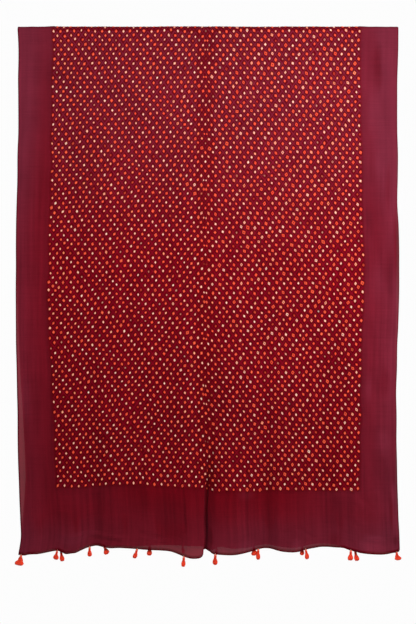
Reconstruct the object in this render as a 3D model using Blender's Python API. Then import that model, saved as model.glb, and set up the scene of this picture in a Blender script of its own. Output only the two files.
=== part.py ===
# A tie-dyed cotton cloth, folded in half over a slim rod that is not part of it, with tassels on both end hems.
# Metres, +Z up. The viewer looks along +Y, so the front half hangs on the -Y side and the back half behind it.
# The origin is where the cloth bears on the rod, on the top line of the fold and halfway along it.

import math
from collections import namedtuple

import bpy
from mathutils import Vector

# Driving dimensions
CUT_WIDTH = 0.940          # cut cloth, hem to hem across
HALF_LENGTH = 1.250        # from the fold down to the hem's mean line, half of the 2.5 m length
THICKNESS = 0.0012         # thin cotton with its puckers
ROD_RADIUS = 0.009         # the fold keeps the round shape of the rod it hangs on
LAYER_GAP = 0.0065         # from the middle plane to each half, once they have closed up below the fold
GAP_CLOSES = 0.160         # how far below the fold the halves take to close up to that
CROWN_STEPS = 6            # faces round the fold
TASSEL_GAP = 0.0007        # between a tassel's tie and the hem it is sewn to
TASSEL_SIDES = 8

FRONT = -1
BACK = 1

# Side edges of each half: places of the left and right edge, by distance below the fold.
Edge = namedtuple("Edge", "down left right")
FRONT_EDGES = (
    Edge(0.000, -0.4500, 0.4500),
    Edge(0.040, -0.4480, 0.4498),
    Edge(0.079, -0.4482, 0.4488),
    Edge(0.117, -0.4492, 0.4476),
    Edge(0.155, -0.4488, 0.4475),
    Edge(0.198, -0.4486, 0.4475),
    Edge(0.245, -0.4487, 0.4477),
    Edge(0.298, -0.4506, 0.4493),
    Edge(0.355, -0.4509, 0.4487),
    Edge(0.412, -0.4526, 0.4477),
    Edge(0.464, -0.4540, 0.4508),
    Edge(0.516, -0.4544, 0.4520),
    Edge(0.569, -0.4543, 0.4523),
    Edge(0.621, -0.4548, 0.4522),
    Edge(0.669, -0.4546, 0.4511),
    Edge(0.712, -0.4543, 0.4497),
    Edge(0.754, -0.4541, 0.4476),
    Edge(0.807, -0.4527, 0.4469),
    Edge(0.864, -0.4517, 0.4450),
    Edge(0.921, -0.4504, 0.4461),
    Edge(0.978, -0.4502, 0.4458),
    Edge(1.031, -0.4493, 0.4471),
    Edge(1.078, -0.4475, 0.4478),
    Edge(1.126, -0.4459, 0.4493),
    Edge(1.169, -0.4440, 0.4506),
    Edge(1.211, -0.4428, 0.4528),
    Edge(1.250, -0.4489, 0.4539),
)
BACK_EDGES = (
    Edge(0.000, -0.4500, 0.4500),
    Edge(0.120, -0.4475, 0.4480),
    Edge(0.390, -0.4510, 0.4460),
    Edge(0.550, -0.4530, 0.4470),
    Edge(0.740, -0.4490, 0.4450),
    Edge(0.930, -0.4385, 0.4430),
    Edge(1.060, -0.4325, 0.4440),
    Edge(1.110, -0.4345, 0.4450),
    Edge(1.200, -0.4420, 0.4500),
    Edge(1.250, -0.4475, 0.4530),
)

# How far each hem hangs below the fold, by place across the cut cloth.
Hem = namedtuple("Hem", "across drop")
FRONT_HEM = (
    Hem(-0.470, 1.2532),
    Hem(-0.455, 1.2550),
    Hem(-0.444, 1.2526),
    Hem(-0.420, 1.2515),
    Hem(-0.384, 1.2442),
    Hem(-0.374, 1.2435),
    Hem(-0.365, 1.2470),
    Hem(-0.357, 1.2509),
    Hem(-0.343, 1.2499),
    Hem(-0.331, 1.2484),
    Hem(-0.306, 1.2377),
    Hem(-0.286, 1.2322),
    Hem(-0.277, 1.2321),
    Hem(-0.251, 1.2370),
    Hem(-0.223, 1.2368),
    Hem(-0.159, 1.2415),
    Hem(-0.117, 1.2437),
    Hem(-0.103, 1.2453),
    Hem(-0.088, 1.2499),
    Hem(-0.073, 1.2555),
    Hem(-0.059, 1.2599),
    Hem(-0.045, 1.2619),
    Hem(-0.032, 1.2610),
    Hem(-0.025, 1.2574),
    Hem(-0.020, 1.2482),
    Hem(-0.015, 1.2422),
    Hem(-0.010, 1.2413),
    Hem(-0.002, 1.2427),
    Hem(0.007, 1.2455),
    Hem(0.016, 1.2502),
    Hem(0.023, 1.2512),
    Hem(0.052, 1.2529),
    Hem(0.070, 1.2529),
    Hem(0.088, 1.2505),
    Hem(0.107, 1.2459),
    Hem(0.122, 1.2416),
    Hem(0.137, 1.2387),
    Hem(0.147, 1.2381),
    Hem(0.160, 1.2391),
    Hem(0.175, 1.2429),
    Hem(0.188, 1.2456),
    Hem(0.209, 1.2474),
    Hem(0.227, 1.2462),
    Hem(0.243, 1.2415),
    Hem(0.259, 1.2386),
    Hem(0.282, 1.2351),
    Hem(0.317, 1.2360),
    Hem(0.335, 1.2371),
    Hem(0.346, 1.2411),
    Hem(0.362, 1.2452),
    Hem(0.379, 1.2491),
    Hem(0.416, 1.2529),
    Hem(0.433, 1.2527),
    Hem(0.453, 1.2488),
    Hem(0.463, 1.2471),
    Hem(0.470, 1.2416),
)
BACK_HEM = (
    Hem(-0.470, 1.2506),
    Hem(-0.457, 1.2516),
    Hem(-0.418, 1.2470),
    Hem(-0.384, 1.2406),
    Hem(-0.367, 1.2475),
    Hem(-0.350, 1.2480),
    Hem(-0.331, 1.2435),
    Hem(-0.306, 1.2328),
    Hem(-0.282, 1.2290),
    Hem(-0.262, 1.2325),
    Hem(-0.221, 1.2338),
    Hem(-0.185, 1.2350),
    Hem(-0.150, 1.2322),
    Hem(-0.110, 1.2312),
    Hem(-0.076, 1.2318),
    Hem(-0.036, 1.2335),
    Hem(-0.024, 1.2340),
    Hem(-0.014, 1.2395),
    Hem(-0.004, 1.2412),
    Hem(0.007, 1.2432),
    Hem(0.015, 1.2415),
    Hem(0.026, 1.2358),
    Hem(0.035, 1.2352),
    Hem(0.060, 1.2392),
    Hem(0.098, 1.2375),
    Hem(0.118, 1.2328),
    Hem(0.148, 1.2306),
    Hem(0.180, 1.2352),
    Hem(0.205, 1.2384),
    Hem(0.232, 1.2358),
    Hem(0.257, 1.2310),
    Hem(0.289, 1.2292),
    Hem(0.325, 1.2330),
    Hem(0.350, 1.2423),
    Hem(0.364, 1.2458),
    Hem(0.398, 1.2485),
    Hem(0.435, 1.2482),
    Hem(0.470, 1.2470),
)

# Upright folds: where each lies on the cut cloth where it starts and at the hem, how far below the fold of the cloth
# it starts and is full, how wide its left and its right flank are, and its depth, which is towards the back, or
# towards the viewer below zero.
Fold = namedtuple("Fold", "start_across hem_across starts full left_flank right_flank depth")
SHARED_FOLDS = (
    Fold(-0.402, -0.401, 0.85, 1.20, 0.048, 0.029, 0.0025),
    Fold(-0.349, -0.350, 0.90, 1.20, 0.032, 0.032, -0.0030),
    Fold(-0.286, -0.294, 0.70, 1.18, 0.044, 0.035, 0.0055),
    Fold(-0.235, -0.247, 0.55, 1.15, 0.040, 0.067, -0.0030),
    Fold(-0.038, -0.059, 0.22, 0.70, 0.064, 0.055, -0.0050),
    Fold(-0.045, -0.057, 0.92, 1.20, 0.044, 0.036, -0.0050),
    Fold(0.011, -0.015, 0.90, 1.21, 0.008, 0.012, 0.0060),
    Fold(0.011, -0.0155, 0.90, 1.21, 0.008, 0.036, 0.0105),
    Fold(0.030, 0.024, 0.90, 1.20, 0.040, 0.083, -0.0070),
    Fold(0.094, 0.051, 0.28, 0.80, 0.041, 0.059, -0.0040),
    Fold(0.136, 0.142, 0.55, 1.15, 0.035, 0.031, 0.0070),
    Fold(0.186, 0.182, 0.60, 1.15, 0.035, 0.063, -0.0030),
    Fold(0.293, 0.279, 0.35, 1.10, 0.083, 0.063, 0.0080),
    Fold(0.377, 0.381, 0.80, 1.20, 0.053, 0.039, -0.0050),
    Fold(0.427, 0.425, 0.85, 1.20, 0.027, 0.022, 0.0020),
)
BACK_SHARE = 0.8           # the back half follows the front's folds this closely
BACK_FOLDS = (
    Fold(-0.200, -0.210, 0.60, 1.20, 0.080, 0.080, 0.006),
    Fold(0.030, 0.040, 0.50, 1.15, 0.070, 0.070, 0.004),
    Fold(0.260, 0.250, 0.60, 1.20, 0.090, 0.090, 0.006),
)

# Faces across the cut cloth: closer together where the folds are tight.
Band = namedtuple("Band", "start end faces")
COLUMN_BANDS = (
    Band(-0.470, -0.110, 15),
    Band(-0.110, -0.040, 4),
    Band(-0.040, 0.045, 11),
    Band(0.045, 0.200, 9),
    Band(0.200, 0.470, 13),
)
ROW_BANDS = (
    Band(0.000, 0.160, 2),
    Band(0.160, 0.640, 4),
    Band(0.640, 1.000, 5),
    Band(1.000, 1.250, 5),
)

# Tassels: place of the tie across the room, lean to the right and towards the back as a share of the length, length,
# and how much wider than most its cut ends have spread.
Tassel = namedtuple("Tassel", "x lean_right lean_back length spread")
FRONT_TASSELS = (
    Tassel(-0.4435, -0.17, -0.05, 0.0242, 2.00),
    Tassel(-0.3577, -0.24, 0.04, 0.0210, 1.40),
    Tassel(-0.2811, -0.02, -0.06, 0.0220, 1.05),
    Tassel(-0.1684, -0.27, 0.02, 0.0225, 1.00),
    Tassel(-0.0573, -0.03, -0.03, 0.0235, 0.90),
    Tassel(0.0176, -0.08, 0.05, 0.0245, 1.05),
    Tassel(0.1192, -0.04, -0.02, 0.0240, 0.90),
    Tassel(0.2320, 0.22, 0.03, 0.0225, 1.00),
    Tassel(0.3383, -0.02, -0.05, 0.0230, 1.25),
    Tassel(0.4480, 0.14, 0.02, 0.0190, 1.90),
)
BACK_TASSELS = (
    Tassel(-0.4435, -0.20, 0.06, 0.0210, 1.30),
    Tassel(-0.3495, 0.15, -0.32, 0.0232, 1.05),
    Tassel(-0.2480, 0.50, -0.30, 0.0225, 1.35),
    Tassel(-0.1390, 0.02, -0.28, 0.0240, 1.15),
    Tassel(-0.0600, 0.05, 0.16, 0.0185, 0.80),
    Tassel(0.0200, -0.05, 0.20, 0.0170, 0.70),
    Tassel(0.1080, 0.18, -0.26, 0.0220, 1.50),
    Tassel(0.2250, -0.04, -0.28, 0.0210, 1.10),
    Tassel(0.3500, 0.16, -0.32, 0.0235, 1.10),
    Tassel(0.4480, 0.12, 0.04, 0.0170, 1.30),
)

# Outline of a tassel 22.5 mm long: half width and half depth by distance from the tie. The skirt starts where the
# binding ends, and is wider than it is deep.
Ring = namedtuple("Ring", "down half_wide half_deep")
TASSEL_RINGS = (
    Ring(0.0000, 0.0010, 0.0010),
    Ring(0.0030, 0.0018, 0.0017),
    Ring(0.0072, 0.0021, 0.0020),
    Ring(0.0105, 0.0032, 0.0026),
    Ring(0.0145, 0.0044, 0.0034),
    Ring(0.0190, 0.0049, 0.0037),
    Ring(0.0225, 0.0040, 0.0031),
)
SKIRT_STARTS = 0.0072
TASSEL_LENGTH = TASSEL_RINGS[-1].down


def clear_scene():
    for thing in list(bpy.data.objects):
        bpy.data.objects.remove(thing, do_unlink=True)


def make_material(name, colour, roughness):
    material = bpy.data.materials.new(name)
    material.use_nodes = True
    shader = material.node_tree.nodes["Principled BSDF"]
    shader.inputs["Base Color"].default_value = (*colour, 1.0)
    shader.inputs["Roughness"].default_value = roughness
    shader.inputs["Metallic"].default_value = 0.0
    return material


def read_table(rows, at, column):
    # A smooth curve through a table's rows, read at a value of its first column.
    places = [row[0] for row in rows]
    values = [getattr(row, column) for row in rows]
    at = min(max(at, places[0]), places[-1])
    last = len(rows) - 1
    below = max(i for i in range(last) if places[i] <= at)
    above = below + 1

    def slope(i):
        left, right = max(i - 1, 0), min(i + 1, last)
        return (values[right] - values[left]) / (places[right] - places[left])

    span = places[above] - places[below]
    t = (at - places[below]) / span
    start = (2 * t**3 - 3 * t**2 + 1) * values[below] + (t**3 - 2 * t**2 + t) * span * slope(below)
    end = (3 * t**2 - 2 * t**3) * values[above] + (t**3 - t**2) * span * slope(above)
    return start + end


def smooth_step(start, end, at):
    t = min(max((at - start) / (end - start), 0.0), 1.0)
    return t * t * (3 - 2 * t)


def fold_depth(folds, across, down):
    # Each fold is a round-topped ridge or trough that grows from nothing where it starts.
    total = 0.0
    for fold in folds:
        reached = smooth_step(fold.starts, fold.full, down)
        middle = fold.start_across + (fold.hem_across - fold.start_across) * reached
        flank = fold.left_flank if across < middle else fold.right_flank
        away = abs(across - middle) / flank
        if away < 1:
            total += fold.depth * reached * (0.5 + 0.5 * math.cos(math.pi * away))
    return total


def layer_offset(down):
    # The halves leave the rod a rod's width apart and close up a little way below it.
    wide = ROD_RADIUS + THICKNESS / 2
    return wide + (LAYER_GAP - wide) * smooth_step(0.0, GAP_CLOSES, down)


def half_depth(half, across, down):
    if half == FRONT:
        return -layer_offset(down) + fold_depth(SHARED_FOLDS, across, down)
    shared = BACK_SHARE * fold_depth(SHARED_FOLDS, across, down)
    return layer_offset(down) + shared + fold_depth(BACK_FOLDS, across, down)


def band_places(bands):
    places = [bands[0].start]
    for band in bands:
        step = (band.end - band.start) / band.faces
        places += [band.start + step * (i + 1) for i in range(band.faces)]
    return places


def row_points(half, down, columns):
    # One row across a half. The cloth does not stretch, so its points crowd together where a fold turns away, and
    # the row as a whole reaches from the left edge to the right one.
    depths = [half_depth(half, across, down) for across in columns]
    reach = [0.0]
    for i in range(1, len(columns)):
        along = columns[i] - columns[i - 1]
        back = depths[i] - depths[i - 1]
        reach.append(reach[-1] + math.sqrt(max(along**2 - back**2, (0.2 * along) ** 2)))
    edges, hem = (FRONT_EDGES, FRONT_HEM) if half == FRONT else (BACK_EDGES, BACK_HEM)
    left, right = read_table(edges, down, "left"), read_table(edges, down, "right")
    points = []
    for i, across in enumerate(columns):
        x = left + (right - left) * reach[i] / reach[-1]
        share = down / HALF_LENGTH
        z = -ROD_RADIUS - share * (read_table(hem, across, "drop") - ROD_RADIUS)
        points.append(Vector((x, depths[i], z)))
    return points


def crown_points(angle, columns):
    # One row over the rod: angle runs from 0 on the front to pi on the back.
    radius = ROD_RADIUS + THICKNESS / 2
    left, right = FRONT_EDGES[0].left, FRONT_EDGES[0].right
    points = []
    for across in columns:
        x = left + (right - left) * (across / CUT_WIDTH + 0.5)
        points.append(Vector((x, -radius * math.cos(angle), -ROD_RADIUS + radius * math.sin(angle))))
    return points


def make_object(name, vertices, faces, material):
    mesh = bpy.data.meshes.new(name)
    mesh.from_pydata(vertices, [], faces)
    mesh.validate()
    mesh.materials.append(material)
    thing = bpy.data.objects.new(name, mesh)
    bpy.context.scene.collection.objects.link(thing)
    mesh.shade_smooth()
    return thing


def make_cloth(material):
    columns = band_places(COLUMN_BANDS)
    downs = band_places(ROW_BANDS)
    rows = [row_points(FRONT, down, columns) for down in reversed(downs)]
    rows += [crown_points(math.pi * step / CROWN_STEPS, columns) for step in range(1, CROWN_STEPS)]
    rows += [row_points(BACK, down, columns) for down in downs]
    wide = len(columns)
    vertices = [point for row in rows for point in row]
    faces = []
    for row in range(len(rows) - 1):
        for column in range(wide - 1):
            first = row * wide + column
            faces.append((first, first + 1, first + wide + 1, first + wide))
    cloth = make_object("cloth", vertices, faces, material)
    wall = cloth.modifiers.new("thickness", "SOLIDIFY")
    wall.thickness = THICKNESS
    wall.offset = 0.0
    wall.use_even_offset = True
    return cloth


def hem_point(half, x):
    # The point of a half's hem that lies at x, between two of the cloth's own points.
    row = row_points(half, HALF_LENGTH, band_places(COLUMN_BANDS))
    for before, after in zip(row, row[1:]):
        if before.x <= x <= after.x:
            return before.lerp(after, (x - before.x) / (after.x - before.x))
    return row[0] if x < row[0].x else row[-1]


def make_tassel(name, half, tassel, material):
    # A rounded body that hangs from the hem and leans as its row says.
    lean = Vector((tassel.lean_right, tassel.lean_back, -1.0)).normalized()
    side = lean.cross(Vector((0.0, 1.0, 0.0))).normalized()
    front = lean.cross(side)
    start = hem_point(half, tassel.x) + Vector((0.0, 0.0, -TASSEL_GAP))
    stretch = tassel.length / TASSEL_LENGTH
    vertices, faces = [], []
    for ring in TASSEL_RINGS:
        centre = start + lean * ring.down * stretch
        spread = 1.0 + (tassel.spread - 1.0) * smooth_step(SKIRT_STARTS, TASSEL_RINGS[-2].down, ring.down)
        for i in range(TASSEL_SIDES):
            turn = 2 * math.pi * i / TASSEL_SIDES
            wide = side * math.cos(turn) * ring.half_wide * spread
            deep = front * math.sin(turn) * ring.half_deep
            vertices.append(centre + (wide + deep) * stretch)
    for level in range(len(TASSEL_RINGS) - 1):
        for i in range(TASSEL_SIDES):
            after = (i + 1) % TASSEL_SIDES
            low, high = level * TASSEL_SIDES, (level + 1) * TASSEL_SIDES
            faces.append((low + i, low + after, high + after, high + i))
    faces.append(tuple(reversed(range(TASSEL_SIDES))))
    faces.append(tuple(range(len(vertices) - TASSEL_SIDES, len(vertices))))
    return make_object(name, vertices, faces, material)


def main():
    clear_scene()
    cotton = make_material("maroon cotton", (0.118, 0.006, 0.016), 0.85)
    yarn = make_material("orange yarn", (0.900, 0.060, 0.025), 0.80)
    make_cloth(cotton)
    for name, half, tassels in (("front", FRONT, FRONT_TASSELS), ("back", BACK, BACK_TASSELS)):
        for number, tassel in enumerate(tassels, 1):
            make_tassel(f"tassel_{name}_{number:02d}", half, tassel, yarn)


main()
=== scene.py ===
import math

import bpy
import numpy as np
from mathutils import Matrix, Vector


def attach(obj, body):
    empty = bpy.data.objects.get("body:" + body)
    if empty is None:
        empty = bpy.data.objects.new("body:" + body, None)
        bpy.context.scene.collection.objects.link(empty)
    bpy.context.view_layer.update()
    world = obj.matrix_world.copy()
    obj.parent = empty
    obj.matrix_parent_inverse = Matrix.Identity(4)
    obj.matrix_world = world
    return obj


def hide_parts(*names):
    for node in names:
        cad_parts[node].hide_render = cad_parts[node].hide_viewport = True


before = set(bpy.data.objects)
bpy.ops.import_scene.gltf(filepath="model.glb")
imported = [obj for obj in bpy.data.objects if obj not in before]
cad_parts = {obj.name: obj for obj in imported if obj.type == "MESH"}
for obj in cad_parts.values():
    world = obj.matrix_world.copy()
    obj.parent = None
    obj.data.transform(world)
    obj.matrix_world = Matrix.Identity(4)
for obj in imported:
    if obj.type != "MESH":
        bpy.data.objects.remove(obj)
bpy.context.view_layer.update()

# the view: level and straight on; the photograph's 416 x 624 frame is 1.480 m high where the cloth hangs
view = {
    "middleHeight": -0.6770,
    "distance": 4.0,         # to the front half of the cloth
    "frameHeight": 1.4796,
    "sensor": 36.0,          # millimetres, the frame's long side
}


def setCamera():
    data = bpy.data.cameras.new("camera")
    data.sensor_width = view["sensor"]
    data.lens = view["sensor"] * view["distance"] / view["frameHeight"]
    camera = bpy.data.objects.new("camera", data)
    camera.location = (0.0, -view["distance"] - cloth["layerGap"], view["middleHeight"])
    camera.rotation_euler = (math.radians(90), 0.0, 0.0)
    bpy.context.scene.collection.objects.link(camera)
    bpy.context.scene.camera = camera


def linear(hexColour):       # an sRGB hex colour as linear values, with an alpha of 1
    parts = [int(hexColour[i:i + 2], 16) / 255 for i in (1, 3, 5)]
    return (*[p / 12.92 if p <= 0.04045 else ((p + 0.055) / 1.055) ** 2.4 for p in parts], 1.0)


def readFinish(finish):      # a finish with its hex colours made linear
    return {name: linear(value) if str(value).startswith("#") else value for name, value in finish.items()}


def addNode(tree, kind, values=None, **settings):
    # One node: its settings, then a value for each input, by number or by name. A value can be another node's
    # output, or a node, and then it is the first output that this node has enabled.
    node = tree.nodes.new("ShaderNode" + kind)
    for name, setting in settings.items():
        setattr(node, name, setting)
    for name, value in (values or {}).items():
        if isinstance(value, bpy.types.Node):
            value = next(output for output in value.outputs if output.enabled)
        if isinstance(value, bpy.types.NodeSocket):
            tree.links.new(value, node.inputs[name])
        else:
            node.inputs[name].default_value = value
    return node


def newMaterial(name):
    material = bpy.data.materials.new(name)
    material.use_nodes = True
    material.node_tree.nodes.clear()
    return material, material.node_tree


# the cut cloth and how it hangs; the outline and the folds are the ones its solid was built on
cloth = {
    "width": 0.940,
    "halfLength": 1.250,
    "rodRadius": 0.009,
    "solidThickness": 0.0012,
    "layerGap": 0.0065,      # from the middle plane to each half, once they have closed up below the fold
    "gapCloses": 0.160,
    "borderFaces": 13,
    "borderCrowds": 1.25,    # above 1 where the border's columns stand closer together by the side hem
    "endFaces": {"back": (6, 6), "front": (6, 26)},  # narrow rows by the field, then wide ones to the hem
    "endNarrow": 0.0040,     # the height of a narrow row
    "endTaper": 0.35,        # how much taller the first wide row is than the mean, and the last one lower
    "leastWidth": 0.2,       # a face turned away by a fold keeps this share of its width
    "sideBead": 0.0015,      # radius of the rolled hem on the long sides
    "endBead": 0.0016,       # and on the two ends, where it is rolled thicker
    "beadTurns": (70, 140, 210, 280),     # degrees from the edge round to the inner side
    "bakeRoom": 0.010,       # left free round each half in the map for baking
}

# side edges of each half: distance below the fold, then the left and the right edge
frontEdges = (
    (0.000, -0.4500, 0.4500), (0.040, -0.4480, 0.4498), (0.079, -0.4482, 0.4488), (0.117, -0.4492, 0.4476),
    (0.155, -0.4488, 0.4475), (0.198, -0.4486, 0.4475), (0.245, -0.4487, 0.4477), (0.298, -0.4506, 0.4493),
    (0.355, -0.4509, 0.4487), (0.412, -0.4526, 0.4477), (0.464, -0.4540, 0.4508), (0.516, -0.4544, 0.4520),
    (0.569, -0.4543, 0.4523), (0.621, -0.4548, 0.4522), (0.669, -0.4546, 0.4511), (0.712, -0.4543, 0.4497),
    (0.754, -0.4541, 0.4476), (0.807, -0.4527, 0.4469), (0.864, -0.4517, 0.4450), (0.921, -0.4504, 0.4461),
    (0.978, -0.4502, 0.4458), (1.031, -0.4493, 0.4471), (1.078, -0.4475, 0.4478), (1.126, -0.4459, 0.4493),
    (1.169, -0.4440, 0.4506), (1.211, -0.4428, 0.4528), (1.250, -0.4489, 0.4539),
)
backEdges = (
    (0.000, -0.4500, 0.4500), (0.120, -0.4475, 0.4480), (0.390, -0.4510, 0.4460), (0.550, -0.4530, 0.4470),
    (0.740, -0.4490, 0.4450), (0.930, -0.4385, 0.4430), (1.060, -0.4325, 0.4440), (1.110, -0.4345, 0.4450),
    (1.200, -0.4420, 0.4500), (1.250, -0.4475, 0.4530),
)

# how far each hem hangs below the fold: place across the cut cloth, then the drop
frontHem = (
    (-0.470, 1.2532), (-0.455, 1.2550), (-0.444, 1.2526), (-0.420, 1.2515), (-0.384, 1.2442),
    (-0.374, 1.2435), (-0.365, 1.2470), (-0.357, 1.2509), (-0.343, 1.2499), (-0.331, 1.2484),
    (-0.306, 1.2377), (-0.286, 1.2322), (-0.277, 1.2321), (-0.251, 1.2370), (-0.223, 1.2368),
    (-0.159, 1.2415), (-0.117, 1.2437), (-0.103, 1.2453), (-0.088, 1.2499), (-0.073, 1.2555),
    (-0.059, 1.2599), (-0.045, 1.2619), (-0.032, 1.2610), (-0.025, 1.2574), (-0.020, 1.2482),
    (-0.015, 1.2422), (-0.010, 1.2413), (-0.002, 1.2427), (0.007, 1.2455), (0.016, 1.2502), (0.023, 1.2512),
    (0.052, 1.2529), (0.070, 1.2529), (0.088, 1.2505), (0.107, 1.2459), (0.122, 1.2416), (0.137, 1.2387),
    (0.147, 1.2381), (0.160, 1.2391), (0.175, 1.2429), (0.188, 1.2456), (0.209, 1.2474), (0.227, 1.2462),
    (0.243, 1.2415), (0.259, 1.2386), (0.282, 1.2351), (0.317, 1.2360), (0.335, 1.2371), (0.346, 1.2411),
    (0.362, 1.2452), (0.379, 1.2491), (0.416, 1.2529), (0.433, 1.2527), (0.453, 1.2488), (0.463, 1.2471),
    (0.470, 1.2416),
)
backHem = (
    (-0.470, 1.2506), (-0.457, 1.2516), (-0.418, 1.2470), (-0.384, 1.2406), (-0.367, 1.2475),
    (-0.350, 1.2480), (-0.331, 1.2435), (-0.306, 1.2328), (-0.282, 1.2290), (-0.262, 1.2325),
    (-0.221, 1.2338), (-0.185, 1.2350), (-0.150, 1.2322), (-0.110, 1.2312), (-0.076, 1.2318),
    (-0.036, 1.2335), (-0.024, 1.2340), (-0.014, 1.2395), (-0.004, 1.2412), (0.007, 1.2432),
    (0.015, 1.2415), (0.026, 1.2358), (0.035, 1.2352), (0.060, 1.2392), (0.098, 1.2375), (0.118, 1.2328),
    (0.148, 1.2306), (0.180, 1.2352), (0.205, 1.2384), (0.232, 1.2358), (0.257, 1.2310), (0.289, 1.2292),
    (0.325, 1.2330), (0.350, 1.2423), (0.364, 1.2458), (0.398, 1.2485), (0.435, 1.2482), (0.470, 1.2470),
)

# upright folds: place across the cut cloth where each starts and at the hem, how far below the fold of the
# cloth it starts and is full, how wide its left and its right flank are, and its depth, towards the back, or
# towards the viewer below zero
sharedFolds = (
    (-0.402, -0.401, 0.85, 1.20, 0.048, 0.029, 0.0025), (-0.349, -0.350, 0.90, 1.20, 0.032, 0.032, -0.0030),
    (-0.286, -0.294, 0.70, 1.18, 0.044, 0.035, 0.0055), (-0.235, -0.247, 0.55, 1.15, 0.040, 0.067, -0.0030),
    (-0.038, -0.059, 0.22, 0.70, 0.064, 0.055, -0.0050),
    (-0.045, -0.057, 0.92, 1.20, 0.044, 0.036, -0.0050), (0.011, -0.015, 0.90, 1.21, 0.008, 0.012, 0.0060),
    (0.011, -0.0155, 0.90, 1.21, 0.008, 0.036, 0.0105), (0.030, 0.024, 0.90, 1.20, 0.040, 0.083, -0.0070),
    (0.094, 0.051, 0.28, 0.80, 0.041, 0.059, -0.0040), (0.136, 0.142, 0.55, 1.15, 0.035, 0.031, 0.0070),
    (0.186, 0.182, 0.60, 1.15, 0.035, 0.063, -0.0030), (0.293, 0.279, 0.35, 1.10, 0.083, 0.063, 0.0080),
    (0.377, 0.381, 0.80, 1.20, 0.053, 0.039, -0.0050), (0.427, 0.425, 0.85, 1.20, 0.027, 0.022, 0.0020),
)
backShare = 0.8              # how much of the shared folds the back half has
backFolds = (
    (-0.200, -0.210, 0.60, 1.20, 0.080, 0.080, 0.006), (0.030, 0.040, 0.50, 1.15, 0.070, 0.070, 0.004),
    (0.260, 0.250, 0.60, 1.20, 0.090, 0.090, 0.006),
)

# soft creases on the front, where they show: from a place across the room and a drop to another, half width,
# and height towards the viewer, below zero for a trough
creases = (
    (0.3985, -0.010, 0.4389, 0.1614, 0.016, 0.0024), (0.3796, 0.0783, 0.4318, 0.2919, 0.016, -0.0024),
    (0.3748, 0.1732, 0.4270, 0.5292, 0.017, 0.0024), (0.3748, 0.4461, 0.4365, 0.6716, 0.016, -0.0024),
    (0.3748, 0.6478, 0.4365, 0.8614, 0.016, 0.0024), (0.3725, 0.7783, 0.4199, 0.9444, 0.014, -0.0022),
    (0.3748, 0.8733, 0.4318, 1.0750, 0.015, 0.0024), (0.3701, 0.9800, 0.4270, 1.1462, 0.014, -0.0022),
    (0.3677, 1.0750, 0.4033, 1.1818, 0.012, 0.0019), (0.3670, 1.0370, 0.4057, 1.1094, 0.007, -0.0019),
    (0.3622, 1.1142, 0.3791, 1.1628, 0.007, -0.0019), (0.0877, -0.020, 0.0877, 0.1850, 0.007, 0.0012),
    (-0.470, 0.6042, 0.4600, 0.5814, 0.006, -0.0006), (-0.3300, 1.2120, -0.2550, 1.1990, 0.0085, 0.0026),
    (-0.2950, 1.1995, -0.1850, 1.2180, 0.0085, 0.0026), (-0.2700, 1.2160, -0.2000, 1.2210, 0.0070, -0.0016),
    (-0.1700, 1.2010, -0.1020, 1.2160, 0.0080, -0.0026), (-0.1500, 1.2090, -0.0900, 1.2230, 0.0070, 0.0014),
    (-0.0560, 1.0900, -0.0560, 1.2000, 0.0050, -0.0024), (-0.1620, 1.0950, -0.1620, 1.1900, 0.006, -0.0008),
    (-0.2650, 1.0950, -0.2650, 1.2000, 0.006, -0.0010), (0.0450, 1.0950, 0.0430, 1.2300, 0.006, -0.0008),
    (0.3230, 1.0950, 0.3230, 1.2300, 0.007, -0.0010), (0.1050, 1.1200, 0.1250, 1.1400, 0.0080, 0.0016),
    (0.1700, 1.1950, 0.2150, 1.1795, 0.0080, 0.0018), (0.2080, 1.1850, 0.2560, 1.2180, 0.0080, -0.0018),
    (0.3440, 1.1160, 0.3900, 1.1700, 0.0080, 0.0020), (0.3600, 1.1100, 0.4080, 1.1650, 0.0070, -0.0018),
    (0.3440, 1.1670, 0.3780, 1.1885, 0.0080, 0.0018), (0.3620, 1.2100, 0.4280, 1.2240, 0.0110, 0.0026),
    (0.4360, 1.1150, 0.4370, 1.2450, 0.0048, -0.0034), (0.4425, 1.1650, 0.4430, 1.2450, 0.0042, 0.0018),
)

# smaller unevenness of the whole sheet: heights and wave lengths
relief = {
    "swells": ((0.00022, 0.045, 14), (0.00030, 0.12, 10)),     # height, wave length and number of waves
    "endGathers": 0.00042,   # small upright gathers in the end borders
    "sideGathers": 0.00016,
    "gatherWave": 0.013,
    "gatherSlant": 0.05,     # as a share of their length
}

# the tied field on the flat cloth: dots stand in every second column of each row, and in the others of the
# next row
tying = {
    "columns": 44,           # each side of the centre line
    "rowStep": 0.011011,
    "firstRow": 0.0060,      # row 1 lies this far in front of the fold's top line
    "frontRows": 100,
    "backRows": 98,
    "borderStep": 0.9,       # columns that a face of a side border counts as
    "pucker": 0.0012,        # height of the cloth at a dot over the creases around it
    "puckerVaries": 0.35,
    "ridge": 0.075,          # and of the middle of a crease over its ends, as a share of that
    "wander": 0.0018,        # how far a knot misses its place across, and along
    "lowerWander": 0.00216,
    "drift": 0.0016,         # how far a whole row wavers, and the length of its waves
    "driftWave": 0.11,
    "sideDrift": 0.0011,     # the same for a whole column
    "sideDriftWave": 0.10,
}

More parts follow.
